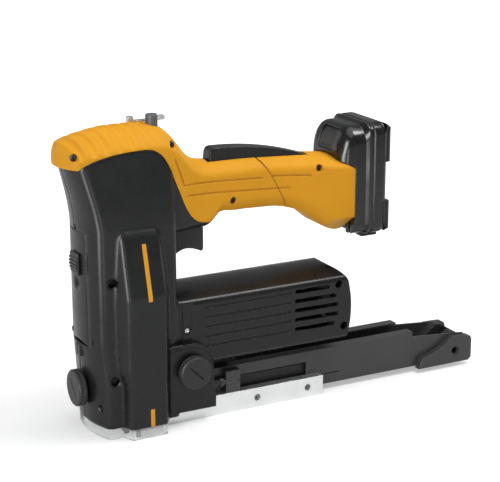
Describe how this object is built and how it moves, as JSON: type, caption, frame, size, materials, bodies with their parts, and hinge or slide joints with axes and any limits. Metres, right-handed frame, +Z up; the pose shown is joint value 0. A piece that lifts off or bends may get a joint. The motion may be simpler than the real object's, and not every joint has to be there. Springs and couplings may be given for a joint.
{
  "type": "cordless carton stapler",
  "caption": "Cordless carton-closing stapler: black head and motor housing, yellow pistol grip with slide battery, and a rear staple magazine on aluminium rails.",
  "frame": {"origin": "where the staple leaves the nose: middle of the drive line, on the plane that rests on the carton", "axes": "+X to the rear along the magazine, +Y across to the tool's right-hand side, +Z up to the grip"},
  "size_m": [0.4105, 0.092, 0.2735],
  "materials": {
    "black_shell": "fine moulded texture",
    "yellow_shell": "fine moulded texture, satin",
    "clear_plastic": "clear moulded plastic",
    "aluminium": "extruded and brushed along its length",
    "bright_steel": "zinc plated",
    "black_steel": "black coated sheet",
    "plain_steel": "ground and oiled",
    "copper_staple": "copper-washed wire",
    "black_plastic": "fine moulded texture",
    "lever_black": "soft satin",
    "bearing_bronze": "sintered bronze",
    "board_green": "printed board",
    "grey_plastic": "satin grey",
    "battery_black": "fine texture with polished bevels",
    "bumper_rubber": "soft over-moulding",
    "cell_wrap": "shrink sleeve"
  },
  "bodies": {
    "base": {"body_shell_left": "black_shell", "body_shell_right": "black_shell", "knob_plate_left": "black_shell", "knob_plate_right": "black_shell", "handle_shell_left": "yellow_shell", "handle_shell_right": "yellow_shell", "nose_guard": "clear_plastic", "side_rail_left": "aluminium", "side_rail_right": "aluminium", "rail_screws": "bright_steel", "housing_screws": "bright_steel", "door_pin": "bright_steel", "lever_pin": "bright_steel", "guide_rods": "bright_steel", "clinch_pins": "bright_steel", "hanger_plate": "bright_steel", "return_springs": "bright_steel", "trigger_spring": "bright_steel", "lever_spring": "bright_steel", "magazine_channel": "black_steel", "magazine_end": "black_steel", "stop_brackets": "black_steel", "stop_screws": "black_steel", "end_pin": "black_steel", "staple_core": "plain_steel", "nose_plate_front": "plain_steel", "nose_plate_rear": "plain_steel", "nose_spacers": "plain_steel", "frame_plate": "plain_steel", "bearing_plate": "plain_steel", "gearbox": "plain_steel", "motor": "plain_steel", "staple_strip": "copper_staple", "end_stop": "black_plastic", "switch_module": "black_plastic", "terminal_block": "black_plastic", "shaft_bearing": "bearing_bronze", "control_board": "board_green", "hanger_post": "grey_plastic"},
    "driver": {"driver_carriage": "plain_steel", "driver_blade": "plain_steel"},
    "pinion": {"drive_pinion": "plain_steel", "drive_shaft": "plain_steel"},
    "clinch_left": {"clinch_arm_left": "plain_steel"},
    "clinch_right": {"clinch_arm_right": "plain_steel"},
    "door": {"front_door": "black_shell"},
    "latch": {"door_latch": "black_plastic"},
    "front_dial": {"front_knob": "black_plastic"},
    "side_dial": {"side_knob": "black_plastic"},
    "pusher_slide": {"pusher": "black_steel", "spring_roll": "plain_steel"},
    "trigger": {"trigger": "black_plastic"},
    "lever": {"safety_lever": "lever_black"},
    "battery": {"battery_case": "battery_black", "battery_bumpers": "bumper_rubber", "battery_cells": "cell_wrap"},
    "release": {"battery_button": "black_plastic"}
  },
  "joints": [
    {"name": "driver_stroke", "type": "slide", "parent": "base", "child": "driver", "axis": [0, 0, -1], "range_m": [0, 0.027], "stiffness_N_per_m": 800, "springref_m": -0.012, "deforming": ["return_springs"]},
    {"name": "pinion_turn", "type": "hinge", "parent": "base", "child": "pinion", "pos_m": [0.012, 0, 0.088], "axis": [-1, 0, 0], "range_deg": [0, 147.5]},
    {"name": "clinch_left_swing", "type": "hinge", "parent": "base", "child": "clinch_left", "pos_m": [0, -0.029, 0.015], "axis": [1, 0, 0], "range_deg": [0, 70]},
    {"name": "clinch_right_swing", "type": "hinge", "parent": "base", "child": "clinch_right", "pos_m": [0, 0.029, 0.015], "axis": [-1, 0, 0], "range_deg": [0, 70]},
    {"name": "door_open", "type": "hinge", "parent": "base", "child": "door", "pos_m": [-0.031, 0, 0.0855], "axis": [0, -1, 0], "range_deg": [0, 80]},
    {"name": "latch_press", "type": "slide", "parent": "door", "child": "latch", "axis": [0, 0, -1], "range_m": [0, 0.005], "stiffness_N_per_m": 200, "springref_m": -0.004},
    {"name": "front_dial_turn", "type": "hinge", "parent": "base", "child": "front_dial", "pos_m": [-0.0426, 0, 0.039], "axis": [1, 0, 0], "continuous": true},
    {"name": "side_dial_turn", "type": "hinge", "parent": "base", "child": "side_dial", "pos_m": [0.0545, -0.0455, 0.0503], "axis": [0, 1, 0], "continuous": true},
    {"name": "pusher_travel", "type": "slide", "parent": "base", "child": "pusher_slide", "axis": [1, 0, 0], "range_m": [0, 0.15], "stiffness_N_per_m": 10, "springref_m": -0.45},
    {"name": "trigger_pull", "type": "slide", "parent": "base", "child": "trigger", "axis": [0, 0, 1], "range_m": [0, 0.006], "stiffness_N_per_m": 400, "springref_m": -0.006, "deforming": ["trigger_spring"]},
    {"name": "lever_squeeze", "type": "hinge", "parent": "base", "child": "lever", "pos_m": [0.177, 0, 0.21], "axis": [0, -1, 0], "range_deg": [0, 4], "stiffness_Nm_per_rad": 6, "springref_deg": -5.16, "deforming": ["lever_spring"]},
    {"name": "battery_slide", "type": "slide", "parent": "base", "child": "battery", "axis": [0, 0, 1], "range_m": [0, 0.06]},
    {"name": "release_press", "type": "slide", "parent": "battery", "child": "release", "axis": [1, 0, 0], "range_m": [0, 0.0025], "stiffness_N_per_m": 600, "springref_m": -0.003}
  ],
  "couplings": [
    {"joint": "pinion_turn", "follows": "driver_stroke", "rad_per_m": 95.238},
    {"joint": "clinch_left_swing", "follows": "driver_stroke", "rad_per_m": 45.2},
    {"joint": "clinch_right_swing", "follows": "driver_stroke", "rad_per_m": 45.2}
  ]
}
